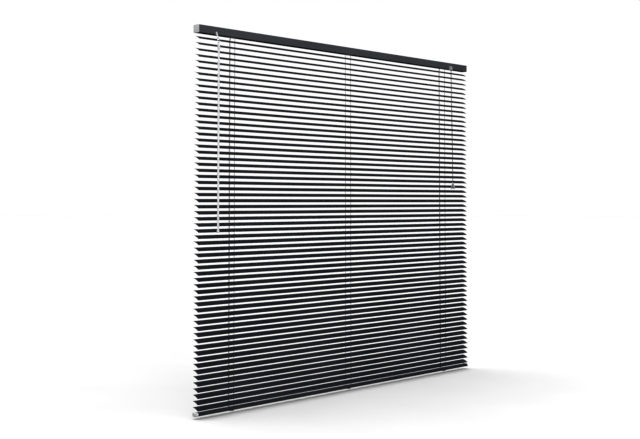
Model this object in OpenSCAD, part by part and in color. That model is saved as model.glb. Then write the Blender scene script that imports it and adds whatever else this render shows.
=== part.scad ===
// Aluminium venetian blind: crowned slats on three ladders under a steel headrail,
// tilted by a wand through a worm drive and raised by a cord through a cord lock.
// X runs along the headrail, +Y points to the wall and +Z is up. Sizes are in millimetres.
// The origin is the middle of the headrail's back face.

/* [Blind] */
// Overall width across the headrail's end caps
blind_w = 1480; // [1300:10:2000]
// Number of slats
slat_count = 62; // [20:1:80]
// Drop from the headrail's underside to the middle of the first slat
first_slat_drop = 14; // [13:0.5:30]
// Drop from the middle of the last slat to the top of the bottom rail
last_slat_drop = 11.5; // [10:0.5:20]
// Distance from the blind's end to an outer ladder
ladder_inset = 157; // [120:1:220]
// Distance from the blind's left end to the tilt wand
tilter_inset = 76; // [40:1:90]
// Distance from the right ladder to the pull cord
lock_offset = 39; // [28:1:80]

/* [Slats] */
// Width of a slat across its two edges
slat_w = 25; // [20:0.5:30]
// Thickness of the slat's strip
slat_t = 0.25; // [0.2:0.05:0.5]
// Height of the slat's crown
slat_crown = 1.6; // [0.8:0.1:3]
// Distance from slat to slat
slat_pitch = 19; // [15:0.5:24]
// Tilt of the slats, with the wall edge up
slat_tilt = 25; // [0:0.5:40]
// How much shorter the slats are than the headrail at each end
slat_end_gap = 3; // [1:0.5:10]

/* [Headrail] */
// Depth of the headrail
rail_d = 25; // [24:0.5:32]
// Height of the headrail
rail_h = 25; // [24:0.5:32]
// Thickness of the headrail's sheet
rail_wall = 0.6; // [0.4:0.1:1]
// Outer radius of the headrail's bottom corners
rail_corner = 1.5; // [1.2:0.1:3]
// Width of the rolled lip along each top edge
rail_lip = 3; // [2:0.25:4]
// Depth of the lip's turned-down edge
lip_drop = 2; // [1:0.25:2.5]
// Thickness of an end cap's flange
cap_t = 1.2; // [0.8:0.2:5]
// Depth that an end cap reaches into the headrail
cap_reach = 14; // [8:1:20]
// Wall of an end cap's tongue
cap_wall = 1.6; // [1:0.2:3]

/* [Ladders] */
// Thickness of a ladder's strings
string_d = 1.3; // [0.8:0.1:1.6]
// Thickness of a ladder's rungs
rung_t = 0.7; // [0.5:0.1:1]
// Gap between a slat's edge and the string beside it
string_gap = 0.2; // [0.1:0.05:0.4]
// Distance from the headrail's face to the strings where they leave it
string_exit_inset = 2.5; // [2.2:0.1:3]
// Diameter of the lift cords and the pull cords
cord_d = 1.4; // [1:0.1:1.6]

/* [Tilt drive] */
// Tilt rod, across its flats
rod_af = 4; // [3:0.25:4.5]
// Height of the tilt rod above the headrail's underside
rod_z = 9.5; // [9.5:0.25:10.5]
// Diameter of a ladder drum
drum_d = 12; // [10:0.5:13]
// Width of a ladder drum
drum_w = 12; // [8:0.5:16]
// Diameter of a drum's journals
journal_d = 8; // [7.2:0.2:9]
// Thickness of a cradle's side plates
plate_t = 1.8; // [1.2:0.2:2.4]
// Thickness of a cradle's base
cradle_base_t = 1.6; // [1:0.2:2]
// Teeth on the worm wheel
gear_teeth = 12; // [12:1:14]
// Pitch radius of the worm wheel
gear_pitch_r = 5; // [5:0.1:5.4]
// Width of the worm wheel
gear_w = 3; // [2:0.25:3.5]
// Radius of the worm's round section
worm_r = 2.5; // [2.4:0.05:2.6]
// Throw of the worm's thread from its axis
worm_throw = 0.7; // [0.6:0.05:0.75]
// Distance between the axes of worm and wheel
worm_offset = 7.9; // [7.9:0.05:8.2]
// Length of the worm's thread
worm_l = 10; // [8:0.5:11]
// Lean of the tilter's stem out of the headrail
stem_slant = 28; // [25:1:32]
// Diameter of the tilter's stem
stem_d = 4.4; // [4:0.2:4.8]
// Distance along the stem from the worm's middle to the eye
stem_reach = 33; // [30:1:40]
// Length of the tilter's case along the headrail
case_l = 20; // [18:1:26]
// Depth of the tilter's case
case_d = 20.4; // [19:0.2:21]

/* [Wand] */
// Thickness of the wand, across its flats
wand_af = 6; // [5:0.25:7]
// Length of the wand's rod
wand_l = 592; // [300:1:900]
// Diameter of the wand's top collar
collar_d = 9; // [8.6:0.2:12]
// Length of the wand's top collar
collar_l = 16; // [12:1:25]
// Thickness of the collar's closed top
collar_roof = 4; // [2:0.5:6]
// Length of the wand's end cap
tip_l = 8; // [5:1:15]
// Radius of the link ring, to the middle of its wire
ring_r = 5.5; // [5:0.25:7]
// Thickness of the link ring's wire
ring_wire = 1.4; // [1.2:0.1:1.6]
// Diameter of the two eyes that the ring runs through
eye_d = 3.3; // [3.2:0.1:4]
// Width of the wall around an eye
eye_wall = 1.4; // [1:0.1:1.6]
// Thickness of the two eyes
eye_t = 1; // [0.8:0.1:1.2]

/* [Cord lock] */
// Length of the cord lock along the headrail
lock_l = 26; // [24:1:30]
// Height of the cord lock inside the headrail
lock_h = 19; // [18.5:0.5:21]
// Wall of the cord lock
lock_wall = 1.6; // [1.2:0.1:2]
// Width of the cord lock's nose
nose_w = 14; // [12:0.5:16]
// Reach of the nose in front of the headrail
nose_reach = 7; // [6.5:0.5:9]
// Height of the nose
nose_h = 13.5; // [12:0.5:15]
// Drop of the nose below the headrail's underside
nose_drop = 2.5; // [1:0.5:4]
// Diameter of the cord lock's roller
roller_d = 5.2; // [4.5:0.1:5.2]
// Diameter of the roller's axle
axle_d = 2.4; // [2:0.1:2.8]
// Travel of the roller along its slots
roller_travel = 3.5; // [2:0.25:3.5]
// Diameter of the cord lock's fixed pin
pin_d = 3.6; // [3:0.1:3.6]

/* [Bottom rail] */
// Height of the bottom rail
base_h = 10.5; // [9:0.5:14]
// Thickness of the bottom rail's sheet
base_wall = 0.8; // [0.5:0.1:1.2]
// Radius of the bottom rail's corners
base_corner = 5; // [1.6:0.2:5.2]
// Gap between the ladder strings and the bottom rail
base_gap = 0.45; // [0.3:0.05:1]
// Length of a bottom rail cap's head
base_cap_t = 6; // [4:0.5:8]
// How far a bottom rail cap's head stands out past the rail's section
base_cap_lip = 1; // [0.4:0.1:1.5]
// Depth that a bottom rail cap reaches into the rail
base_cap_reach = 12; // [6:1:20]
// Diameter of a ladder button's head
button_d = 14; // [12:0.5:18]
// Height of a ladder button's head
button_h = 3; // [2:0.5:4]
// Diameter of a ladder button's stem
button_stem_d = 8.6; // [7:0.2:10]
// Length of a ladder button's stem
button_stem_l = 5; // [3:0.5:7]

/* [Tassel] */
// Drop from the headrail's underside to the top of the tassel
tassel_drop = 455; // [200:5:900]
// Diameter of the tassel's rim
tassel_d = 19.5; // [16:0.5:24]
// Diameter of the tassel's top
tassel_top_d = 9.5; // [8.5:0.5:12]
// Height of the tassel
tassel_h = 25; // [20:1:30]
// Wall of the tassel
tassel_wall = 1.6; // [1.2:0.2:2.2]
// Diameter of the cord knot inside the tassel
knot_d = 6; // [5:0.2:6.4]
// Height of the cord knot
knot_h = 5; // [4:0.5:7]

/* [Hidden] */
$fn = 48;
// Clearances: between fitted pieces, round turning pieces and beside faces that slide
fit_gap = 0.2;
run_gap = 0.15;
side_gap = 0.4;
// How far a cut runs past the face that it opens, and how far joined shapes run into each other
past = 1;
bite = 0.5;

ladder_x = blind_w / 2 - ladder_inset;
ladder_xs = [-ladder_x, 0, ladder_x];
tilter_x = tilter_inset - blind_w / 2;
lock_x = ladder_x + lock_offset;
rail_l = blind_w - 2 * cap_t;
slat_l = blind_w - 2 * slat_end_gap;

// Radius of an arc of the given rise over a chord
function arc_radius(chord, rise) = (chord * chord / 4 + rise * rise) / (2 * rise);

// Slat section: an arc over the chord slat_w
slat_r = arc_radius(slat_w, slat_crown);
slat_half_angle = asin(slat_w / 2 / slat_r);
slat_steps = 8;
slat_rise = slat_w / 2 * sin(slat_tilt);
last_slat_z = -first_slat_drop - (slat_count - 1) * slat_pitch;

// Ladder: strings run from the drum through the floor, out to the slats and under the bottom rail
string_y = slat_w / 2 * cos(slat_tilt) + slat_t + string_gap + string_d / 2;
string_top_y = drum_d / 2 + side_gap + string_d / 2;
string_exit_y = rail_d / 2 - string_exit_inset;
string_kink_rise = 1.5;
string_kink_z = slat_rise + string_kink_rise - first_slat_drop;
rung_bite = 0.1;
slot_l = 14;
slot_edge = 0.6;
slot_d = rail_d - 2 * rail_wall - 2 * slot_edge;
window_l = 10;

base_z = last_slat_z - last_slat_drop - base_h;
base_d = 2 * (string_y - string_d / 2 - base_gap);
base_l = blind_w - 2 * base_cap_t;
base_inner_d = base_d - 2 * base_wall;
base_inner_h = base_h - 2 * base_wall;
// The corners leave a narrow flat on the rail's sides
base_flat = 0.5;
base_round = min(base_corner, (base_h - base_flat) / 2);
base_inner_corner = base_round - base_wall;
base_cap_d = base_d + 2 * base_cap_lip;
base_cap_h = base_h + 2 * base_cap_lip;
base_cap_bow = 2.5;
base_cap_crown = 1.5;
tail_z = base_z - side_gap - string_d;

// Tilter: the worm's middle stands worm_offset from the rod, square to the stem
worm_y = -worm_offset * cos(stem_slant);
worm_z = rod_z + worm_offset * sin(stem_slant);
worm_lead = 2 * PI * gear_pitch_r / gear_teeth;
tooth_top = 0.65;
tooth_foot = 0.95;
gear_tip_r = gear_pitch_r + tooth_top;
gear_root_r = gear_pitch_r - tooth_foot;
hub_d = 7;
worm_journal_d = 3;
worm_journal_l = 3.5;
snout_wall = 1.4;
snout_d = stem_d + 2 * fit_gap + 2 * snout_wall;
snout_start = 7;
snout_end = 18;
eye_y = worm_y - stem_reach * sin(stem_slant);
eye_z = worm_z - stem_reach * cos(stem_slant);
eye_r = eye_d / 2 + eye_wall;
// The ring hangs from the middle of the stem's eye, and carries the wand's eye
ring_low_z = eye_z - 2 * ring_r;
wand_eye_z = ring_low_z - (eye_d - ring_wire) / 2 + side_gap;
wand_top_z = wand_eye_z - eye_r;
wand_socket = collar_l - collar_roof;
wand_low_z = wand_top_z - collar_roof - wand_l;

// Cord lock: the cords pass over the pin and under the roller
lock_d = rail_d - 2 * rail_wall - 2 * fit_gap;
nose_hole_d = 2.2;
pin_y = -4;
pin_z = 5.6;
lock_cord_z = 9;
roller_z = lock_cord_z + cord_d / 2 + side_gap + roller_d / 2;
roller_lean = 35;

tassel_z = -tassel_drop - tassel_h;
tassel_y = -23.5;
tassel_hole_d = 4.4;
knot_drop = 6;
knot_z = -tassel_drop - knot_drop - knot_h;

// Cord routes: along the back of the slats, along the headrail to the lock, and down to the tassel
cord_x = ladder_x - 3;
cord_y = string_y + (cord_d - string_d) / 2;
cord_tail_z = base_z - side_gap - cord_d / 2;
run_y = string_exit_y + 0.2;
nose_cord_y = -rail_d / 2 - nose_reach + 2;
lift_route = [
    [cord_x, button_d / 2, cord_tail_z], [cord_x, base_d / 2 - 0.5, cord_tail_z],
    [cord_x, cord_y, base_z + 1.5], [cord_x, cord_y, string_kink_z], [cord_x, string_exit_y, 0]
];
left_run = [
    [-cord_x, string_exit_y, 0], [-cord_x, run_y, 4], [3 - cord_x, run_y, 6], [10 - cord_x, run_y, 6],
    [lock_x - 19, run_y, 6], [lock_x - 12, 8.6, 7], [lock_x - 7, 3, lock_cord_z],
    [lock_x - 3, pin_y, lock_cord_z], [lock_x - 3, -10, 7], [lock_x - 3, -15.5, 3], [lock_x - 3, nose_cord_y, -nose_drop]
];
right_run = [
    [cord_x, string_exit_y, 0], [cord_x, run_y, 2], [cord_x + 3, run_y, 3.4], [cord_x + 8, run_y, 3.4],
    [lock_x - 18, run_y, 3.4], [lock_x - 11, 8.6, 5], [lock_x - 4, 3, lock_cord_z],
    [lock_x + 3, pin_y, lock_cord_z], [lock_x + 3, -10, 7], [lock_x + 3, -15.5, 3], [lock_x + 3, nose_cord_y, -nose_drop]
];
pull_steps = 6;
function pull_at(side, t) = [
    lock_x + side * (0.8 + 2.2 * (1 - t) * (1 - t)),
    nose_cord_y + (tassel_y - nose_cord_y) * t,
    -nose_drop - (tassel_drop - nose_drop) * t
];
function pull_route(side) = concat(
    [for (i = [0 : pull_steps]) pull_at(side, i / pull_steps)],
    [[lock_x + side * 0.8, tassel_y, knot_z + knot_h]]
);

steel_grey = "#3d3e42";
slat_grey = "#2a2c30";
cap_grey = "#b7b8ba";
drive_white = "#d9d9d6";
cord_black = "#1c1c1f";
clear_grey = "#d5d9dc";
smoke_grey = "#85878b";
bright_steel = "#a9abae";

// Moves from the middle of the headrail's underside, where everything below is drawn, to the origin
module hung() {
    translate([0, -rail_d / 2, -rail_h / 2])
        children();
}

// Stands a section drawn in Y and Z along X, centred on X = 0
module along_x(length) {
    rotate([90, 0, 90])
        linear_extrude(length, center = true)
            children();
}

// A cylinder along X, centred on the origin
module rod_x(d, length) {
    rotate([0, 90, 0])
        cylinder(d = d, h = length, center = true);
}

// A hexagonal bar along X, measured across its flats
module hex_x(across, length) {
    rotate([0, 90, 0])
        cylinder(d = across / cos(30), h = length, center = true, $fn = 6);
}

// A box that stands on Z = 0 with its two lower corners rounded
module cup_section(d, h, r) {
    translate([-d / 2, r])
        square([d, h - r]);
    translate([-d / 2 + r, 0])
        square([d - 2 * r, h]);
    for (side = [-1, 1])
        translate([side * (d / 2 - r), r])
            circle(r);
}

// A box that stands on Z = 0 with all four corners rounded
module tube_section(d, h, r) {
    translate([-d / 2, r])
        square([d, h - 2 * r]);
    translate([-d / 2 + r, 0])
        square([d - 2 * r, h]);
    for (side = [-1, 1])
        for (level = [r, h - r])
            translate([side * (d / 2 - r), level])
                circle(r);
}

// Sweeps a cord along a route: one ring of points per route point, carried along without twist
function unit(v) = v / norm(v);
function bend_at(route, i) =
    let (last = len(route) - 1)
    let (before = i > 0 ? unit(route[i] - route[i - 1]) : [0, 0, 0])
    let (after = i < last ? unit(route[i + 1] - route[i]) : [0, 0, 0])
    unit(before + after);
function square_to(v, axis) = unit(v - (v * axis) * axis);
function cord_frames(route) = [
    for (i = 0, side = square_to([0.6, 0.8, 0.1], bend_at(route, 0));
        i < len(route);
        i = i + 1, side = i < len(route) ? square_to(side, bend_at(route, i)) : side)
        side
];

module cord(route) {
    sides = 8;
    frames = cord_frames(route);
    last = len(route) - 1;
    points = [
        for (i = [0 : last])
            for (k = [0 : sides - 1])
                let (turn = k * 360 / sides)
                let (across = cross(bend_at(route, i), frames[i]))
                route[i] + cord_d / 2 * (cos(turn) * frames[i] + sin(turn) * across)
    ];
    walls = [
        for (i = [0 : last - 1])
            for (k = [0 : sides - 1])
                let (next = (k + 1) % sides)
                [i * sides + k, (i + 1) * sides + k, (i + 1) * sides + next, i * sides + next]
    ];
    start = [[for (k = [0 : sides - 1]) k]];
    end = [[for (k = [sides - 1 : -1 : 0]) last * sides + k]];
    polyhedron(points, concat(walls, start, end));
}

module rail_section() {
    difference() {
        cup_section(rail_d, rail_h, rail_corner);
        translate([0, rail_wall])
            cup_section(rail_d - 2 * rail_wall, rail_h, rail_corner - rail_wall);
    }
    for (side = [0, 1])
        mirror([side, 0]) {
            translate([rail_d / 2 - rail_lip, rail_h - rail_wall])
                square([rail_lip - rail_wall / 2, rail_wall]);
            translate([rail_d / 2 - rail_lip, rail_h - lip_drop])
                square([rail_wall, lip_drop]);
        }
}

module headrail() {
    color(steel_grey)
        hung()
            difference() {
                along_x(rail_l)
                    rail_section();
                for (x = ladder_xs)
                    translate([x - slot_l / 2, -slot_d / 2, -past])
                        cube([slot_l, slot_d, rail_wall + 2 * past]);
                on_worm_axis()
                    translate([0, 0, -snout_end - past])
                        cylinder(d = snout_d + 2 * fit_gap, h = snout_end - snout_start / 2);
                translate([lock_x - nose_w / 2 - fit_gap, -rail_d / 2 - past, -past])
                    cube([nose_w + 2 * fit_gap, past + nose_hole_d, nose_h - nose_drop + past + fit_gap]);
            }
}

module end_cap(side) {
    tongue_h = rail_h - rail_wall - lip_drop - 2 * fit_gap;
    tongue_d = rail_d - 2 * rail_wall - 2 * fit_gap;
    color(cap_grey)
        hung()
            mirror([side < 0 ? 1 : 0, 0, 0]) {
                translate([rail_l / 2 + cap_t / 2, 0, 0])
                    along_x(cap_t)
                        cup_section(rail_d, rail_h, rail_corner);
                translate([(rail_l - cap_reach) / 2, 0, rail_wall + fit_gap])
                    along_x(cap_reach)
                        difference() {
                            cup_section(tongue_d, tongue_h, rail_corner - rail_wall);
                            translate([-tongue_d / 2 + cap_wall, cap_wall])
                                square([tongue_d - 2 * cap_wall, tongue_h]);
                        }
            }
}

// One slat's section: an arc that is convex upwards, with the middle of its chord at the origin
module slat_section() {
    angles = [for (i = [0 : slat_steps]) slat_half_angle * (2 * i / slat_steps - 1)];
    low = slat_r - slat_crown;
    top = [for (a = angles) [slat_r * sin(a), slat_r * cos(a) - low]];
    inner_r = slat_r - slat_t;
    under = [for (i = [slat_steps : -1 : 0]) [inner_r * sin(angles[i]), inner_r * cos(angles[i]) - low]];
    polygon(concat(top, under));
}

// A rung lies under both edges of its slat and reaches the middle of both strings
module rung_section() {
    seat = -slat_t * cos(slat_half_angle) + rung_bite;
    reach = string_y / cos(slat_tilt);
    translate([-reach, seat - rung_t])
        square([2 * reach, rung_t]);
}

// One side of a ladder, drawn as a strip of the string's thickness along its route
module string_section(side) {
    half = string_d / 2;
    mirror([side < 0 ? 1 : 0, 0]) {
        polygon([
            [string_top_y - half, rod_z], [string_top_y + half, rod_z],
            [string_exit_y + half, 0], [string_y + half, string_kink_z],
            [string_y + half, tail_z], [button_d / 2 + side_gap, tail_z],
            [button_d / 2 + side_gap, tail_z + string_d], [string_y - half, tail_z + string_d],
            [string_y - half, string_kink_z], [string_exit_y - half, 0]
        ]);
    }
}

module ladder_section() {
    string_section(-1);
    string_section(1);
    for (i = [0 : slat_count - 1])
        translate([0, -first_slat_drop - i * slat_pitch])
            rotate(slat_tilt)
                rung_section();
}

module slats_on_ladders() {
    color(slat_grey)
        hung() {
            along_x(slat_l)
                for (i = [0 : slat_count - 1])
                    translate([0, -first_slat_drop - i * slat_pitch])
                        rotate(slat_tilt)
                            slat_section();
            for (x = ladder_xs)
                translate([x, 0, 0])
                    along_x(string_d)
                        ladder_section();
        }
}

// A cradle stands over its slot, holds a drum between two forks and snaps through the floor
module cradle(x) {
    plate_x = drum_w / 2 + side_gap;
    foot = 1;
    cradle_l = 2 * (plate_x + plate_t + foot);
    cradle_d = rail_d - 2 * rail_wall - 2 * fit_gap;
    fork_wall = 3.5;
    plate_d = journal_d + 2 * fork_wall;
    plate_top = rod_z + journal_d / 2;
    leg_t = 1.2;
    leg_d = 12;
    leg_drop = 1.2;
    barb = 0.8;
    journal_hole = journal_d + 2 * run_gap;
    color(drive_white)
        hung()
            translate([x, 0, 0])
                difference() {
                    union() {
                        translate([0, 0, rail_wall])
                            along_x(cradle_l)
                                cup_section(cradle_d, cradle_base_t, rail_corner - rail_wall);
                        for (side = [0, 1])
                            mirror([side, 0, 0]) {
                                translate([plate_x, -plate_d / 2, rail_wall])
                                    cube([plate_t, plate_d, plate_top - rail_wall]);
                                translate([slot_l / 2 - fit_gap - leg_t, -leg_d / 2, -leg_drop])
                                    cube([leg_t, leg_d, leg_drop + rail_wall + cradle_base_t / 2]);
                                translate([slot_l / 2 - fit_gap - leg_t, -leg_d / 2, -leg_drop])
                                    cube([leg_t + barb, leg_d, leg_drop - fit_gap]);
                            }
                    }
                    for (side = [0, 1])
                        mirror([0, side, 0])
                            translate([-window_l / 2, string_exit_y - 2, -past])
                                cube([window_l, rail_d, rail_wall + cradle_base_t + 2 * past]);
                    translate([0, 0, rod_z])
                        rod_x(journal_hole, cradle_l + past);
                    translate([-cradle_l / 2 - past, -journal_hole / 2, rod_z])
                        cube([cradle_l + 2 * past, journal_hole, rail_h]);
                }
}

// A drum turns with the rod, and its two slots take the ends of the ladder's strings
module drum(x) {
    slot_w = 1.5;
    slot_depth = 2;
    slot_turn = 34;
    journal_end = 1;
    journal_l = drum_w + 2 * (side_gap + plate_t + journal_end);
    color(drive_white)
        hung()
            translate([x, 0, rod_z])
                difference() {
                    union() {
                        rod_x(drum_d, drum_w);
                        rod_x(journal_d, journal_l);
                    }
                    hex_x(rod_af + 2 * fit_gap, journal_l + past);
                    for (side = [0, 180])
                        rotate([slot_turn + side, 0, 0])
                            translate([-drum_w / 4, drum_d / 2 - slot_depth, -slot_w / 2])
                                cube([drum_w / 2, slot_depth + past, slot_w]);
                }
}

module tilt_rod() {
    rod_overhang = 5;
    rod_start = tilter_x - case_l / 2 - rod_overhang;
    rod_end = ladder_x + drum_w / 2 + side_gap + plate_t + rod_overhang;
    color(bright_steel)
        hung()
            translate([(rod_start + rod_end) / 2, 0, rod_z])
                hex_x(rod_af, rod_end - rod_start);
}

// The worm's own frame: Z up along the stem, and the rod worm_offset away along Y
module on_worm_axis() {
    translate([tilter_x, worm_y, worm_z])
        rotate([-stem_slant, 0, 0])
            children();
}

module tilter_case_whole() {
    case_top = rail_h - lip_drop - fit_gap;
    case_front = -rail_d / 2 + rail_wall + fit_gap;
    pocket_w = gear_w + 2 * side_gap;
    pocket_r = worm_r + worm_throw + side_gap;
    difference() {
        union() {
            translate([tilter_x, case_front + case_d / 2, rail_wall])
                along_x(case_l)
                    cup_section(case_d, case_top - rail_wall, rail_corner - rail_wall);
            on_worm_axis()
                translate([0, 0, -snout_end])
                    cylinder(d = snout_d, h = snout_end - snout_start);
        }
        translate([tilter_x, 0, rod_z]) {
            rod_x(2 * (gear_tip_r + side_gap), pocket_w);
            rod_x(hub_d + 2 * run_gap, case_l + past);
        }
        on_worm_axis() {
            translate([0, 0, -worm_l / 2 - side_gap])
                cylinder(r = pocket_r, h = worm_l + 2 * side_gap);
            translate([0, 0, worm_l / 2])
                cylinder(d = worm_journal_d + 2 * run_gap, h = worm_journal_l + side_gap);
            translate([0, 0, -snout_end - past])
                cylinder(d = stem_d + 2 * fit_gap, h = snout_end + past);
        }
    }
}

// The case is moulded as two halves that meet on the stem's plane
module tilter_case(side) {
    span = 4 * rail_h;
    color(drive_white)
        hung()
            intersection() {
                tilter_case_whole();
                translate([tilter_x + (side < 0 ? -span : 0), -span / 2, -span / 2])
                    cube([span, span, span]);
            }
}

// A worm wheel: straight teeth thin enough to run free in the worm's thread
module gear_section() {
    step = 360 / gear_teeth;
    root_half = 7.5;
    tip_half = 3.2;
    polygon([
        for (i = [0 : gear_teeth - 1])
            let (middle = (i + 0.5) * step)
            for (corner = [[-root_half, gear_root_r], [-tip_half, gear_tip_r],
                           [tip_half, gear_tip_r], [root_half, gear_root_r]])
                corner[1] * [cos(middle + corner[0]), sin(middle + corner[0])]
    ]);
}

module tilter_gear() {
    color(clear_grey)
        hung()
            translate([tilter_x, 0, rod_z])
                difference() {
                    union() {
                        rotate([180 - stem_slant, 0, 0])
                            along_x(gear_w)
                                gear_section();
                        rod_x(hub_d, case_l);
                    }
                    hex_x(rod_af + 2 * fit_gap, case_l + past);
                }
}

// An eye of round outline at the origin, thin along X, with a neck up or down to what carries it
module eye(neck) {
    difference() {
        union() {
            rod_x(2 * eye_r, eye_t);
            translate([-eye_t / 2, -eye_r, min(neck, 0)])
                cube([eye_t, 2 * eye_r, abs(neck)]);
        }
        rod_x(eye_d, eye_t + past);
    }
}

// The stem with its worm is one moulding, from the journal at its top to the eye at its foot
module tilter_stem() {
    steps_per_turn = 9;
    turns = worm_l / worm_lead;
    neck = 5;
    foot = worm_l / 2 - bite;
    color(clear_grey)
        hung()
            on_worm_axis() {
                translate([0, 0, -worm_l / 2])
                    linear_extrude(worm_l, twist = -360 * turns, slices = ceil(turns * steps_per_turn))
                        rotate(90 - 180 * turns)
                            translate([worm_throw, 0])
                                circle(worm_r, $fn = 16);
                translate([0, 0, worm_l / 2 - bite])
                    cylinder(d = worm_journal_d, h = worm_journal_l + bite);
                translate([0, 0, -stem_reach + neck])
                    cylinder(d = stem_d, h = stem_reach - neck - foot);
                translate([0, 0, -stem_reach])
                    eye(neck + bite);
            }
}

module wand_ring() {
    color(bright_steel)
        hung()
            translate([tilter_x, eye_y, eye_z - ring_r])
                rotate([90, 0, 0])
                    rotate_extrude()
                        translate([ring_r, 0])
                            circle(d = ring_wire);
}

module wand_collar() {
    color(clear_grey)
        hung()
            translate([tilter_x, eye_y, 0]) {
                translate([0, 0, wand_eye_z])
                    eye(-eye_r - bite);
                difference() {
                    translate([0, 0, wand_top_z - collar_l])
                        cylinder(d = collar_d, h = collar_l);
                    translate([0, 0, wand_top_z - collar_l - past])
                        cylinder(d = (wand_af + 2 * fit_gap) / cos(30), h = wand_socket + past, $fn = 6);
                }
            }
}

module wand_rod() {
    color(clear_grey)
        hung()
            translate([tilter_x, eye_y, wand_low_z])
                cylinder(d = wand_af / cos(30), h = wand_l, $fn = 6);
}

module wand_tip() {
    tip_wall = 0.7;
    tip_r = wand_af / 2 / cos(30) + fit_gap + tip_wall;
    floor_t = 2;
    color(clear_grey)
        hung()
            translate([tilter_x, eye_y, wand_low_z - floor_t])
                difference() {
                    rotate_extrude() {
                        translate([0, tip_r / 3])
                            square([tip_r, tip_l - tip_r / 3]);
                        square([tip_r * 2 / 3, tip_l]);
                        translate([tip_r * 2 / 3, tip_r / 3])
                            circle(tip_r / 3);
                    }
                    translate([0, 0, floor_t])
                        cylinder(d = (wand_af + 2 * fit_gap) / cos(30), h = tip_l, $fn = 6);
                }
}

// Moves to the roller's place, travel millimetres up its slots from where it holds the cords
module at_roller(travel) {
    translate([lock_x, pin_y + travel * sin(roller_lean), roller_z + travel * cos(roller_lean)])
        children();
}

module cord_lock() {
    nose_cavity_w = nose_w - 2 * lock_wall;
    nose_front = -rail_d / 2 - nose_reach;
    slot_w = axle_d + 2 * fit_gap;
    entry_d = 5.5;
    entry_h = 7;
    color(cap_grey)
        hung()
            difference() {
                union() {
                    translate([lock_x, 0, rail_wall])
                        along_x(lock_l)
                            cup_section(lock_d, lock_h, rail_corner - rail_wall);
                    translate([lock_x - nose_w / 2, nose_front, -nose_drop])
                        cube([nose_w, nose_reach + nose_hole_d, nose_h]);
                }
                translate([lock_x - lock_l / 2 + lock_wall, -lock_d / 2 + lock_wall, rail_wall + lock_wall])
                    cube([lock_l - 2 * lock_wall, lock_d - 2 * lock_wall, rail_h]);
                translate([lock_x - nose_cavity_w / 2, nose_front + lock_wall, -nose_drop - past])
                    cube([nose_cavity_w, rail_d / 2, nose_h - lock_wall + past]);
                translate([lock_x - lock_l / 2 - past, lock_d / 2 - entry_d, rail_wall + lock_wall])
                    cube([lock_wall + 2 * past, entry_d + past, entry_h]);
                for (travel = [0, roller_travel])
                    at_roller(travel)
                        rod_x(slot_w, lock_l + past);
                at_roller(0)
                    rotate([-roller_lean, 0, 0])
                        translate([-lock_l, -slot_w / 2, 0])
                            cube([2 * lock_l, slot_w, roller_travel]);
                translate([lock_x, pin_y, pin_z])
                    rod_x(pin_d + 2 * fit_gap, lock_l + past);
            }
}

module cord_lock_pin() {
    color(bright_steel)
        hung()
            translate([lock_x, pin_y, pin_z])
                rod_x(pin_d, lock_l);
}

module cord_lock_roller() {
    roller_l = lock_l - 2 * lock_wall - 2 * side_gap;
    color(bright_steel)
        hung()
            at_roller(0) {
                rod_x(roller_d, roller_l);
                rod_x(axle_d, lock_l);
            }
}

module lift_cord(side) {
    color(cord_black)
        hung()
            mirror([side < 0 ? 1 : 0, 0, 0])
                cord(lift_route);
}

module headrail_cord(side) {
    color(cord_black)
        hung()
            cord(side < 0 ? left_run : right_run);
}

module pull_cord(side) {
    color(cord_black)
        hung()
            cord(pull_route(side));
}

// A bell: a neck that flares to the rim, hollow below the seat of the knot
module tassel() {
    steps = 8;
    shoulder = 1.2;
    neck_r = tassel_top_d / 2;
    flare = tassel_d / 2 - neck_r;
    seat = knot_z + knot_h + side_gap - tassel_z;
    levels = [for (i = [0 : steps]) i / steps * (tassel_h - shoulder)];
    radii = [for (z = levels) neck_r + flare * pow(1 - z / tassel_h, 2)];
    outside = [for (i = [0 : steps]) [radii[i], levels[i]]];
    inside = [for (i = [steps : -1 : 0]) if (levels[i] < seat) [radii[i] - tassel_wall, levels[i]]];
    hole_r = tassel_hole_d / 2;
    color(smoke_grey)
        hung()
            translate([lock_x, tassel_y, tassel_z])
                rotate_extrude()
                    polygon(concat(
                        outside,
                        [[neck_r - shoulder, tassel_h], [hole_r, tassel_h], [hole_r, seat]],
                        [[knot_d / 2 + fit_gap, seat]],
                        inside
                    ));
}

module cord_knot() {
    color(cord_black)
        hung()
            translate([lock_x, tassel_y, knot_z])
                cylinder(d = knot_d, h = knot_h);
}

module bottom_rail() {
    color(steel_grey)
        hung()
            translate([0, 0, base_z])
                difference() {
                    along_x(base_l)
                        difference() {
                            tube_section(base_d, base_h, base_round);
                            translate([0, base_wall])
                                tube_section(base_inner_d, base_inner_h, base_inner_corner);
                        }
                    for (x = ladder_xs)
                        translate([x, 0, -past])
                            cylinder(d = button_stem_d + 2 * fit_gap, h = base_wall + 2 * past);
                }
}

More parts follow.
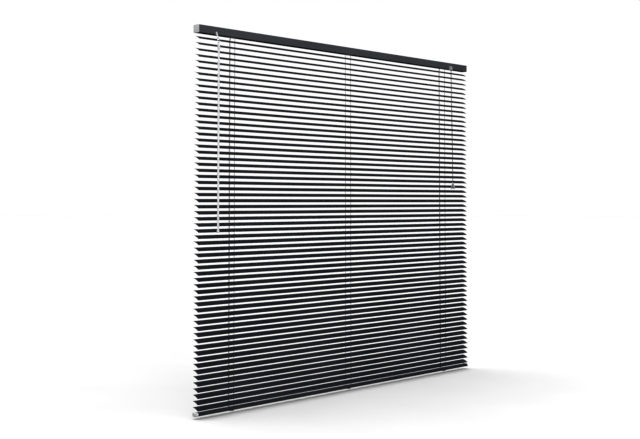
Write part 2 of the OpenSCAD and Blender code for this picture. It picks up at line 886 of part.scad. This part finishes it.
module bottom_cap(side) {
    plug_d = base_inner_d - 2 * fit_gap;
    plug_h = base_inner_h - 2 * fit_gap;
    bow_r = arc_radius(base_cap_d, base_cap_bow);
    crown_r = arc_radius(base_cap_h, base_cap_crown);
    hollow_least = 0.2;
    hollow_corner = max(base_inner_corner - cap_wall, hollow_least);
    color(cap_grey)
        hung()
            mirror([side < 0 ? 1 : 0, 0, 0])
                translate([0, 0, base_z]) {
                    intersection() {
                        translate([base_l / 2 + base_cap_t / 2, 0, -base_cap_lip])
                            along_x(base_cap_t)
                                tube_section(base_cap_d, base_cap_h, base_round + base_cap_lip);
                        translate([blind_w / 2 - bow_r, 0, -base_h])
                            cylinder(r = bow_r, h = 3 * base_h);
                        translate([blind_w / 2 - crown_r, base_d, base_h / 2])
                            rotate([90, 0, 0])
                                cylinder(r = crown_r, h = 2 * base_d);
                    }
                    translate([(base_l - base_cap_reach) / 2, 0, base_wall + fit_gap])
                        along_x(base_cap_reach)
                            difference() {
                                tube_section(plug_d, plug_h, base_inner_corner);
                                translate([0, cap_wall])
                                    tube_section(plug_d - 2 * cap_wall, plug_h - 2 * cap_wall, hollow_corner);
                            }
                }
}

// A button under the bottom rail: a domed head that traps the ladder's tails and a hollow stem
module ladder_button(x) {
    dome = button_h / 2;
    stem_wall = 1.4;
    color(smoke_grey)
        hung()
            translate([x, 0, base_z])
                difference() {
                    union() {
                        translate([0, 0, -button_h + dome])
                            cylinder(d = button_d, h = button_h - dome);
                        translate([0, 0, -button_h])
                            cylinder(d1 = button_d - 2 * dome, d2 = button_d, h = dome);
                        cylinder(d = button_stem_d, h = button_stem_l);
                    }
                    cylinder(d = button_stem_d - 2 * stem_wall, h = button_stem_l + past);
                }
}

headrail();
end_cap(-1);  // end_cap_left
end_cap(1);  // end_cap_right
slats_on_ladders();
cradle(-ladder_x);  // cradle_left
cradle(0);  // cradle_centre
cradle(ladder_x);  // cradle_right
drum(-ladder_x);  // drum_left
drum(0);  // drum_centre
drum(ladder_x);  // drum_right
tilt_rod();
tilter_case(-1);  // tilter_case_left
tilter_case(1);  // tilter_case_right
tilter_gear();
tilter_stem();
wand_ring();
wand_collar();
wand_rod();
wand_tip();
cord_lock();
cord_lock_pin();
cord_lock_roller();
lift_cord(-1);  // lift_cord_left
lift_cord(1);  // lift_cord_right
headrail_cord(-1);  // headrail_cord_left
headrail_cord(1);  // headrail_cord_right
pull_cord(-1);  // pull_cord_left
pull_cord(1);  // pull_cord_right
tassel();
cord_knot();
bottom_rail();
bottom_cap(-1);  // bottom_cap_left
bottom_cap(1);  // bottom_cap_right
ladder_button(-ladder_x);  // ladder_button_left
ladder_button(0);  // ladder_button_centre
ladder_button(ladder_x);  // ladder_button_right
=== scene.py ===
import math
import random

import bmesh
import bpy
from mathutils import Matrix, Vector


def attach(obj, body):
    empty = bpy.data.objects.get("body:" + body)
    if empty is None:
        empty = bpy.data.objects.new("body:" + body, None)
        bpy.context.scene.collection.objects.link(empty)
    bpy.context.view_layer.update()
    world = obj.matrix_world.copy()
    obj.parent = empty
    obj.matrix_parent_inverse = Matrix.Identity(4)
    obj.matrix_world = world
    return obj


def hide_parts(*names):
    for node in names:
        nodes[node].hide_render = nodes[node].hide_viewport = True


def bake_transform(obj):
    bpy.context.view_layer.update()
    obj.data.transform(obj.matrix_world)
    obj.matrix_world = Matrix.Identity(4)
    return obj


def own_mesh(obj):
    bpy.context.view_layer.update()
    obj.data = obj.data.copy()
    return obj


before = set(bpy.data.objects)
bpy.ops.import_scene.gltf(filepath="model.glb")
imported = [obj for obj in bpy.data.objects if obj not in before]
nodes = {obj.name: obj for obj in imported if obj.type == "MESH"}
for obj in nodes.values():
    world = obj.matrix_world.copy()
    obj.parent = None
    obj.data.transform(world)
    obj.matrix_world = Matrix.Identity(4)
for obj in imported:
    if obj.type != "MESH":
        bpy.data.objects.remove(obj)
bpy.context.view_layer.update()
scene = bpy.context.scene
rng = random.Random(11)
print("frame loaded:", len(nodes), "nodes")


# millimetres from the middle of the headrail's underside, to metres in the frame
def at(x, y, z):
    return Vector((x / 1000, (y - 12.5) / 1000, (z - 12.5) / 1000))


# Camera

viewSet = {"place": (-3.1909, -2.6918, -0.5435), "tilt": 92.48, "turn": -48.591, "lens": 65.07, "sensor": 36,
           "shift": -0.1059, "far": 80}
camData = bpy.data.cameras.new("camera")
camData.lens = viewSet["lens"]
camData.sensor_width = viewSet["sensor"]
camData.shift_y = viewSet["shift"]  # the photo is the lower part of a wider picture
camData.clip_end = viewSet["far"]
cam = bpy.data.objects.new("camera", camData)
scene.collection.objects.link(cam)
cam.location = viewSet["place"]
cam.rotation_euler = (math.radians(viewSet["tilt"]), 0, math.radians(viewSet["turn"]))
scene.camera = cam
print("camera set")


# Materials

def newMaterial(name):
    mat = bpy.data.materials.new(name)
    mat.use_nodes = True
    tree = mat.node_tree
    return mat, tree, tree.nodes["Principled BSDF"]


def setSockets(shader, values):
    for key, value in values.items():
        shader.inputs[key].default_value = value


def mathNode(tree, operation, a, b=0.0):
    node = tree.nodes.new("ShaderNodeMath")
    node.operation = operation
    for socket, value in zip(node.inputs, (a, b)):
        if isinstance(value, bpy.types.NodeSocket):
            tree.links.new(value, socket)
        else:
            socket.default_value = value
    return node.outputs[0]


def noiseNode(tree, scale, detail=3.0, stretch=(1, 1, 1)):
    coord = tree.nodes.new("ShaderNodeTexCoord")
    mapping = tree.nodes.new("ShaderNodeMapping")
    mapping.inputs["Scale"].default_value = stretch
    noise = tree.nodes.new("ShaderNodeTexNoise")
    noise.inputs["Scale"].default_value = scale
    noise.inputs["Detail"].default_value = detail
    tree.links.new(coord.outputs["Object"], mapping.inputs["Vector"])
    tree.links.new(mapping.outputs[0], noise.inputs["Vector"])
    return noise.outputs["Fac"]


def rampNode(tree, fac, stops):
    ramp = tree.nodes.new("ShaderNodeValToRGB")
    while len(ramp.color_ramp.elements) < len(stops):
        ramp.color_ramp.elements.new(0.5)
    for element, (place, colour) in zip(ramp.color_ramp.elements, stops):
        element.position = place
        element.color = (*colour, 1)
    tree.links.new(fac, ramp.inputs["Fac"])
    return ramp.outputs["Color"]


def rangeNode(tree, value, low, high, fromLow=0.3, fromHigh=0.7):
    node = tree.nodes.new("ShaderNodeMapRange")
    for key, number in (("From Min", fromLow), ("From Max", fromHigh), ("To Min", low), ("To Max", high)):
        node.inputs[key].default_value = number
    tree.links.new(value, node.inputs["Value"])
    return node.outputs["Result"]


def bumpNode(tree, shader, height, strength, distance):
    bump = tree.nodes.new("ShaderNodeBump")
    bump.inputs["Strength"].default_value = strength
    bump.inputs["Distance"].default_value = distance
    tree.links.new(height, bump.inputs["Height"])
    tree.links.new(bump.outputs["Normal"], shader.inputs["Normal"])


# a finish with clouded colour, uneven gloss and a fine grain
def finish(name, look):
    mat, tree, shader = newMaterial(name)
    setSockets(shader, look["sockets"])
    cloud = noiseNode(tree, look["cloud"], 4.0, look.get("stretch", (1, 1, 1)))
    colour = rampNode(tree, cloud, [(0.3, look["dark"]), (0.7, look["light"])])
    tree.links.new(colour, shader.inputs["Base Color"])
    gloss = noiseNode(tree, look["cloud"] * 3.1, 5.0, look.get("stretch", (1, 1, 1)))  # finer than the colour
    tree.links.new(rangeNode(tree, gloss, *look["rough"]), shader.inputs["Roughness"])
    grain = noiseNode(tree, look["grain"], 2.0, look.get("stretch", (1, 1, 1)))
    bumpNode(tree, shader, grain, look["bump"], look["depth"])
    return mat


slatLook = {
    "dark": (0.0250, 0.0270, 0.0375), "light": (0.0400, 0.0425, 0.0560), "rough": (0.55, 0.68), "cloud": 9,
    "grain": 1500, "bump": 0.12, "depth": 0.0002, "stretch": (0.4, 1, 1),
    "sockets": {"IOR": 1.5, "Specular IOR Level": 0.04},
}
# painted light: a lighter copy of the slats' anthracite paint, for the headrail's front face, which catches
# more light
railLitLook = {
    "dark": (0.095, 0.098, 0.111), "light": (0.112, 0.1155, 0.130), "rough": (0.5, 0.62), "cloud": 14,
    "grain": 1700, "bump": 0.14, "depth": 0.0002, "stretch": (0.5, 1, 1),
    "sockets": {"IOR": 1.5, "Specular IOR Level": 0.04},
}
baseLook = {
    "dark": (0.028, 0.0298, 0.038), "light": (0.040, 0.0423, 0.0515), "rough": (0.5, 0.62), "cloud": 14,
    "grain": 1700, "bump": 0.14, "depth": 0.0002, "stretch": (0.5, 1, 1),
    "sockets": {"IOR": 1.5, "Specular IOR Level": 0.04},
}
capLook = {
    "dark": (0.47, 0.475, 0.48), "light": (0.59, 0.595, 0.60), "rough": (0.34, 0.5), "cloud": 60,
    "grain": 2400, "bump": 0.1, "depth": 0.0001, "sockets": {"IOR": 1.49},
}
driveLook = {
    "dark": (0.56, 0.56, 0.53), "light": (0.66, 0.66, 0.63), "rough": (0.35, 0.5), "cloud": 70,
    "grain": 2600, "bump": 0.1, "depth": 0.0001, "sockets": {"IOR": 1.49},
}
caseLook = {
    "dark": (0.34, 0.34, 0.35), "light": (0.44, 0.44, 0.45), "rough": (0.35, 0.5), "cloud": 70,
    "grain": 2600, "bump": 0.1, "depth": 0.0001, "sockets": {"IOR": 1.49},
}
clearLook = {
    "dark": (0.85, 0.855, 0.87), "light": (0.93, 0.935, 0.95), "rough": (0.16, 0.3), "cloud": 40,
    "grain": 900, "bump": 0.08, "depth": 0.0002, "stretch": (1, 1, 0.1),
    "sockets": {"IOR": 1.49, "Transmission Weight": 0.12, "Subsurface Weight": 0.5, "Subsurface Scale": 0.006,
                "Subsurface Radius": (1, 1, 1)},
}
smokeLook = {
    "dark": (0.67, 0.67, 0.69), "light": (0.77, 0.77, 0.79), "rough": (0.04, 0.1), "cloud": 90,
    "grain": 1200, "bump": 0.08, "depth": 0.0001, "sockets": {"IOR": 1.49, "Transmission Weight": 0.95},
}
steelLook = {
    "dark": (0.76, 0.77, 0.78), "light": (0.86, 0.87, 0.88), "rough": (0.3, 0.5), "cloud": 120,
    "grain": 2200, "bump": 0.1, "depth": 0.0001, "stretch": (0.15, 1, 1), "sockets": {"Metallic": 1.0},
}
slatEnamel = finish("slatEnamel", slatLook)
railLitPaint = finish("railLitPaint", railLitLook)
basePaint = finish("basePaint", baseLook)
capPlastic = finish("capPlastic", capLook)
drivePlastic = finish("drivePlastic", driveLook)
casePlastic = finish("casePlastic", caseLook)
clearPlastic = finish("clearPlastic", clearLook)
smokePlastic = finish("smokePlastic", smokeLook)
zincSteel = finish("zincSteel", steelLook)


# a braided cord: two sets of strands that cross, from the tube's own run
def braid(name, look):
    mat, tree, shader = newMaterial(name)
    setSockets(shader, look["sockets"])
    uv = tree.nodes.new("ShaderNodeUVMap")
    uv.uv_map = "run"
    split = tree.nodes.new("ShaderNodeSeparateXYZ")
    tree.links.new(uv.outputs[0], split.inputs[0])
    around = mathNode(tree, "MULTIPLY", split.outputs[0], look["strands"] * math.tau)
    along = mathNode(tree, "MULTIPLY", split.outputs[1], math.tau / look["pitch"])
    one = mathNode(tree, "SINE", mathNode(tree, "ADD", around, along))
    two = mathNode(tree, "SINE", mathNode(tree, "SUBTRACT", around, along))
    weave = mathNode(tree, "MULTIPLY", one, two)
    height = rangeNode(tree, weave, 0, 1, -1, 1)
    # the colour is darker where the weave lies low between the strands: painted shade in the braid's grooves
    colour = rampNode(tree, height, [(0.1, look["dark"]), (0.8, look["light"])])
    tree.links.new(colour, shader.inputs["Base Color"])
    fuzz = noiseNode(tree, look["fuzz"])
    tree.links.new(rangeNode(tree, fuzz, *look["rough"]), shader.inputs["Roughness"])
    bumpNode(tree, shader, height, look["bump"], look["depth"])
    return mat


cordLook = {
    "dark": (0.010, 0.010, 0.012), "light": (0.034, 0.034, 0.038), "rough": (0.68, 0.9), "strands": 4,
    "pitch": 0.0022, "fuzz": 900, "bump": 0.7, "depth": 0.0002,
    "sockets": {"Sheen Weight": 0.15, "IOR": 1.46},
}
cordYarn = braid("cordYarn", cordLook)
print("materials made")


# Meshes

def meshObject(name, bm, material):
    for face in bm.faces:
        face.smooth = True
    mesh = bpy.data.meshes.new(name)
    bm.to_mesh(mesh)
    bm.free()
    mesh.materials.append(material)
    obj = bpy.data.objects.new(name, mesh)
    scene.collection.objects.link(obj)
    return obj


# a smooth line through the points, with some steps in each span
def smoothPath(points, steps):
    ends = [points[0] * 2 - points[1], *points, points[-1] * 2 - points[-2]]
    path = []
    for a, b, c, d in zip(ends, ends[1:], ends[2:], ends[3:]):
        for i in range(steps):
            t = i / steps
            path.append(0.5 * (2 * b + (c - a) * t + (2 * a - 5 * b + 4 * c - d) * t * t
                               + (3 * b - a - 3 * c + d) * t ** 3))
    return [*path, points[-1].copy()]


# round cords of one thickness along their paths, with the run around and along each as UVs
def tubes(name, paths, diameter, sides, material):
    bm = bmesh.new()
    uv = bm.loops.layers.uv.new("run")
    for path in paths:
        last = len(path) - 1
        side = None
        rings = []
        runs = [0.0]
        for i, point in enumerate(path):
            fore = (path[min(i + 1, last)] - path[max(i - 1, 0)]).normalized()
            side = fore.orthogonal() if side is None else side - fore * side.dot(fore)
            side.normalize()
            across = fore.cross(side)
            turns = [math.tau * k / sides for k in range(sides)]
            rings.append([bm.verts.new(point + (side * math.cos(a) + across * math.sin(a)) * diameter / 2)
                          for a in turns])
            if i:
                runs.append(runs[-1] + (point - path[i - 1]).length)
        for i in range(last):
            for k in range(sides):
                n = (k + 1) % sides
                face = bm.faces.new((rings[i][k], rings[i][n], rings[i + 1][n], rings[i + 1][k]))
                marks = ((k, i), (k + 1, i), (k + 1, i + 1), (k, i + 1))
                for loop, (u, v) in zip(face.loops, marks):
                    loop[uv].uv = (u / sides, runs[v])
        bm.faces.new(list(reversed(rings[0])))
        bm.faces.new(rings[-1])
    return meshObject(name, bm, material)


# Pull cords: two strands from the nose of the cord lock to the knot in the tassel

pullSet = {"lockX": 622, "apart": 0.8, "spread": 2.2, "noseY": -17.5, "tasselY": -23.5, "noseZ": -2.5,
           "tasselZ": -455, "knotZ": -461, "steps": 24, "thick": 0.0014, "sides": 10}


def pullPath(side):
    path = []
    for i in range(pullSet["steps"] + 1):
        t = i / pullSet["steps"]
        x = pullSet["lockX"] + side * (pullSet["apart"] + pullSet["spread"] * (1 - t) ** 2)
        y = pullSet["noseY"] + (pullSet["tasselY"] - pullSet["noseY"]) * t
        path.append(at(x, y, pullSet["noseZ"] + (pullSet["tasselZ"] - pullSet["noseZ"]) * t))
    path.append(at(pullSet["lockX"] + side * pullSet["apart"], pullSet["tasselY"], pullSet["knotZ"]))
    return path


for side, word in ((-1, "left"), (1, "right")):
    path = pullPath(side)
    strand = tubes("pullCord." + word, [path], pullSet["thick"], pullSet["sides"], cordYarn)
    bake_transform(strand)
    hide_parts("pull_cord_" + word)
print("pull cords made")

# Cords inside the headrail, from the outer ladders over the cord lock's pin to its nose

headCordSet = {
    "left": [(-580, 10, 0), (-580, 10.2, 4), (-577, 10.2, 6), (-570, 10.2, 6), (0, 10.2, 6), (603, 10.2, 6),
             (610, 8.6, 7), (615, 3, 9), (619, -4, 9), (619, -10, 7), (619, -15.5, 3), (619, -17.5, -2.5)],
    "right": [(580, 10, 0), (580, 10.2, 2), (583, 10.2, 3.4), (588, 10.2, 3.4), (604, 10.2, 3.4),
              (611, 8.6, 5), (618, 3, 9), (625, -4, 9), (625, -10, 7), (625, -15.5, 3), (625, -17.5, -2.5)],
}
for word, route in headCordSet.items():
    path = [at(*point) for point in route]
    run = tubes("headrailCord." + word, [path], pullSet["thick"], pullSet["sides"], cordYarn)
    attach(run, "headrail")
    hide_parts("headrail_cord_" + word)
print("headrail cords made")

# Lift cords behind the slats: the run hangs from the headrail with the slats, and the tail stays on the
# bottom rail

liftSet = {"x": 580, "y": 12.479, "exitY": 10, "kinkZ": -7.22, "rows": (-40, -1180, -30), "railTop": -1184.5,
           "tail": [(12.479, -1192.5), (12.079, -1194.7), (10.979, -1196), (9, -1196.1), (7, -1196.1)],
           "sides": 8, "bend": 3, "keep": 0.0836}
for side, word in ((-1, "left"), (1, "right")):
    x = side * liftSet["x"]
    rail = at(x, liftSet["y"], liftSet["railTop"])
    upper = [at(x, liftSet["exitY"], 0), at(x, liftSet["y"], liftSet["kinkZ"])]
    upper += [at(x, liftSet["y"], z) for z in range(*liftSet["rows"])]
    upper.append(rail)
    tail = smoothPath([rail, *(at(x, y, z) for y, z in liftSet["tail"])], liftSet["bend"])
    run = tubes("liftCord." + word, [upper], pullSet["thick"], liftSet["sides"], cordYarn)
    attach(run, "headrail")
    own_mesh(run)
    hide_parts("lift_cord_" + word)
    end = tubes("liftTail." + word, [tail], pullSet["thick"], liftSet["sides"], cordYarn)
    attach(end, "bottom_rail")
print("lift cords made")

# Slats: crowned strips with rounded corners, each a little different in tilt and height

slatSet = {"count": 62, "first": -14, "pitch": 19, "tilt": 25, "width": 25, "crown": 1.6, "thick": 0.25,
           "length": 1474, "corner": 0.6, "tiltJitter": 0.35, "lift": 0.12, "sag": 0.25, "ladderX": 583,
           "wave": 0.05, "waveRun": 90, "stations": 16, "sharp": 50}
tilt = math.radians(slatSet["tilt"])
radius = (slatSet["width"] ** 2 / 4 + slatSet["crown"] ** 2) / (2 * slatSet["crown"])
half = slatSet["width"] / 2
spread = [-1, -0.985, -0.94, -0.86, -0.7, -0.45, -0.15, 0.15, 0.45, 0.7, 0.86, 0.94, 0.985, 1]  # fine edges


# how much shorter the slat is near its edges, where its corners are rounded
def cornerCut(u):
    edge = half - abs(u)
    r = slatSet["corner"]
    return 0 if edge >= r else r - math.sqrt(r * r - (r - edge) ** 2)


def slatPoint(share, u, drop, turn, z, phase):
    x = share * (slatSet["length"] / 2 - cornerCut(u))
    v = math.sqrt(radius ** 2 - u * u) - radius + slatSet["crown"] - drop
    sag = slatSet["sag"] * (math.cos(x / slatSet["ladderX"] * math.tau) - 1) / 2  # none at the ladders
    z += sag + slatSet["wave"] * math.sin(x / slatSet["waveRun"] + phase)
    return at(x, u * math.cos(turn) - v * math.sin(turn), z + u * math.sin(turn) + v * math.cos(turn))


bm = bmesh.new()
for i in range(slatSet["count"]):
    turn = tilt + math.radians(rng.uniform(-1, 1) * slatSet["tiltJitter"])
    z = slatSet["first"] - i * slatSet["pitch"] + rng.uniform(-1, 1) * slatSet["lift"]
    phase = rng.uniform(0, math.tau)
    shares = [2 * k / slatSet["stations"] - 1 for k in range(slatSet["stations"] + 1)]
    layers = []
    for drop in (0, slatSet["thick"]):
        layers.append([[bm.verts.new(slatPoint(s, u * half, drop, turn, z, phase)) for u in spread]
                       for s in shares])
    top, under = layers
    for k in range(len(shares) - 1):
        for m in range(len(spread) - 1):
            bm.faces.new((top[k][m], top[k + 1][m], top[k + 1][m + 1], top[k][m + 1]))
            bm.faces.new((under[k][m], under[k][m + 1], under[k + 1][m + 1], under[k + 1][m]))
        for m in (0, len(spread) - 1):
            bm.faces.new((top[k][m], under[k][m], under[k + 1][m], top[k + 1][m]))
    for k in (0, len(shares) - 1):
        for m in range(len(spread) - 1):
            bm.faces.new((top[k][m], top[k][m + 1], under[k][m + 1], under[k][m]))
bmesh.ops.recalc_face_normals(bm, faces=bm.faces)
slats = meshObject("slats", bm, slatEnamel)
slats.data.set_sharp_from_angle(angle=math.radians(slatSet["sharp"]))
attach(slats, "headrail")
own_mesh(slats)
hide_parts("slats_on_ladders")
print("slats made:", len(slats.data.polygons), "faces")

# Ladders: strings in front and behind, and a rung of two threads under each slat

ladderSet = {"xs": (-slatSet["ladderX"], 0, slatSet["ladderX"]), "y": 12.429, "waver": 0.06, "waverRun": 1.7,
             "thick": 0.0013, "top": [(7.05, 9.5), (8.6, 4.4)],
             "tail": [(12.429, -1193.5), (12.1, -1195.3), (11, -1196.05), (7.4, -1196.05)],
             "sides": 7, "bend": 3, "rung": 0.00045, "rungGap": 0.3, "rungDrop": 0.6, "rungSides": 5}
strings = []
tops = []
tails = []
for x in ladderSet["xs"]:
    for side in (-1, 1):
        y = side * ladderSet["y"]
        outlet = at(x, side * liftSet["exitY"], 0)
        rail = at(x, y, liftSet["railTop"])
        run = [outlet, at(x, y, liftSet["kinkZ"])]
        for i in range(2 * slatSet["count"]):
            waver = ladderSet["waver"] * math.sin(i * ladderSet["waverRun"] + x)
            run.append(at(x, y + side * waver, slatSet["first"] - slatSet["pitch"] * i / 2))
        strings.append([*run, rail])
        tops.append([*(at(x, side * v, w) for v, w in ladderSet["top"]), outlet])
        tail = [rail, *(at(x, side * v, w) for v, w in ladderSet["tail"])]
        tails.append(smoothPath(tail, ladderSet["bend"]))
ladderRun = tubes("ladderStrings", strings, ladderSet["thick"], ladderSet["sides"], cordYarn)
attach(ladderRun, "headrail")
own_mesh(ladderRun)
ladderTop = tubes("ladderTops", tops, ladderSet["thick"], ladderSet["sides"], cordYarn)
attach(ladderTop, "headrail")
ladderTail = tubes("ladderTails", tails, ladderSet["thick"], ladderSet["sides"], cordYarn)
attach(ladderTail, "bottom_rail")

rungs = []
reach = ladderSet["y"] / math.cos(tilt)  # from the slat's middle to a string
for x in ladderSet["xs"]:
    for i in range(slatSet["count"]):
        z = slatSet["first"] - i * slatSet["pitch"]
        for gap in (-ladderSet["rungGap"], ladderSet["rungGap"]):
            rungs.append([at(x + gap, r * math.cos(tilt) + ladderSet["rungDrop"] * math.sin(tilt),
                             z + r * math.sin(tilt) - ladderSet["rungDrop"] * math.cos(tilt))
                          for r in (-reach, 0, reach)])
ladderRungs = tubes("ladderRungs", rungs, ladderSet["rung"], ladderSet["rungSides"], cordYarn)
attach(ladderRungs, "headrail")
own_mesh(ladderRungs)
print("ladders made")

# Knot inside the tassel: the two strands tied together

knotSet = {"z": -463.6, "size": 0.95, "rise": 1.5, "cross": 1.2, "thick": 0.0016, "points": 48, "sides": 9}
loop = []
for i in range(knotSet["points"] + 1):
    a = math.tau * i / knotSet["points"]
    loop.append(at(pullSet["lockX"] + knotSet["size"] * (math.sin(a) + knotSet["cross"] * math.sin(2 * a)),
                   pullSet["tasselY"] + knotSet["size"] * (math.cos(a) - knotSet["cross"] * math.cos(2 * a)),
                   knotSet["z"] - knotSet["rise"] * math.sin(3 * a)))
knot = tubes("cordKnot", [loop], knotSet["thick"], knotSet["sides"], cordYarn)
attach(knot, "tassel")
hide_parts("cord_knot")
print("knot made")

# Finishes of the pieces that keep their solids

nodeFinish = {
    railLitPaint: ("headrail",),
    basePaint: ("bottom_rail",),
    capPlastic: ("end_cap_left", "end_cap_right", "bottom_cap_left", "bottom_cap_right"),
    drivePlastic: ("cradle_left", "cradle_centre", "cradle_right", "drum_left", "drum_centre", "drum_right"),
    casePlastic: ("tilter_case_left", "tilter_case_right", "cord_lock"),
    clearPlastic: ("tilter_gear", "tilter_stem", "wand_collar", "wand_rod", "wand_tip"),
    smokePlastic: ("tassel", "ladder_button_left", "ladder_button_centre", "ladder_button_right"),
    zincSteel: ("tilt_rod", "wand_ring", "cord_lock_pin", "cord_lock_roller"),
}
for material, names in nodeFinish.items():
    for name in names:
        nodes[name].data.materials.clear()
        nodes[name].data.materials.append(material)
print("finishes set")

# Floor and light

stageSet = {"floor": -1.217, "size": 40, "cells": 8, "cloud": 3, "dark": (0.565, 0.565, 0.565),
            "light": (0.585, 0.585, 0.585), "sockets": {"Roughness": 0.9, "Specular IOR Level": 0.1}}
bm = bmesh.new()
bmesh.ops.create_grid(bm, x_segments=stageSet["cells"], y_segments=stageSet["cells"], size=stageSet["size"])
floorMat, tree, shader = newMaterial("floor")
cloud = noiseNode(tree, stageSet["cloud"])
tree.links.new(rampNode(tree, cloud, [(0.3, stageSet["dark"]), (0.7, stageSet["light"])]),
               shader.inputs["Base Color"])
setSockets(shader, stageSet["sockets"])
floor = meshObject("floor", bm, floorMat)
floor.location = (0, 0, stageSet["floor"])

# white all round above the floor's edge, and dark below it, so that undersides stay dark
lightSet = {"sky": 1.0, "ground": 0.03, "edge": (-0.06, -0.03), "contrast": 0.68}
fillSet = {"place": (-3.9, -3.5, 0), "target": (0, 0, -0.4), "size": 2, "energy": 120}
sunSet = {
    "top": {"lean": (-0.4, 0), "angle": 4, "energy": 1.9},
    "back": {"lean": (-22, -5), "angle": 35, "energy": 0.6},
}
floor.visible_diffuse = False
floor.visible_glossy = False
world = bpy.data.worlds.new("world")
scene.world = world
world.use_nodes = True
tree = world.node_tree
coord = tree.nodes.new("ShaderNodeTexCoord")
split = tree.nodes.new("ShaderNodeSeparateXYZ")
tree.links.new(coord.outputs["Generated"], split.inputs[0])
tree.links.new(rangeNode(tree, split.outputs["Z"], lightSet["ground"], lightSet["sky"], *lightSet["edge"]),
               tree.nodes["Background"].inputs["Strength"])
tree.nodes["Background"].inputs["Color"].default_value = (1, 1, 1, 1)
light = bpy.data.lights.new("softbox", "AREA")
light.size = fillSet["size"]
light.energy = fillSet["energy"]
lamp = bpy.data.objects.new("softbox", light)
scene.collection.objects.link(lamp)
lamp.location = fillSet["place"]
lamp.rotation_euler = (Vector(fillSet["target"]) - lamp.location).to_track_quat("-Z", "Y").to_euler()
lamp.visible_camera = False
for name, sun in sunSet.items():
    light = bpy.data.lights.new("even." + name, "SUN")
    light.angle = math.radians(sun["angle"])
    light.energy = sun["energy"]
    lamp = bpy.data.objects.new("even." + name, light)
    scene.collection.objects.link(lamp)
    lamp.rotation_euler = [math.radians(a) for a in (*sun["lean"], 0)]
scene.view_settings.view_transform = "Standard"
scene.view_settings.gamma = lightSet["contrast"]
print("floor and light set")
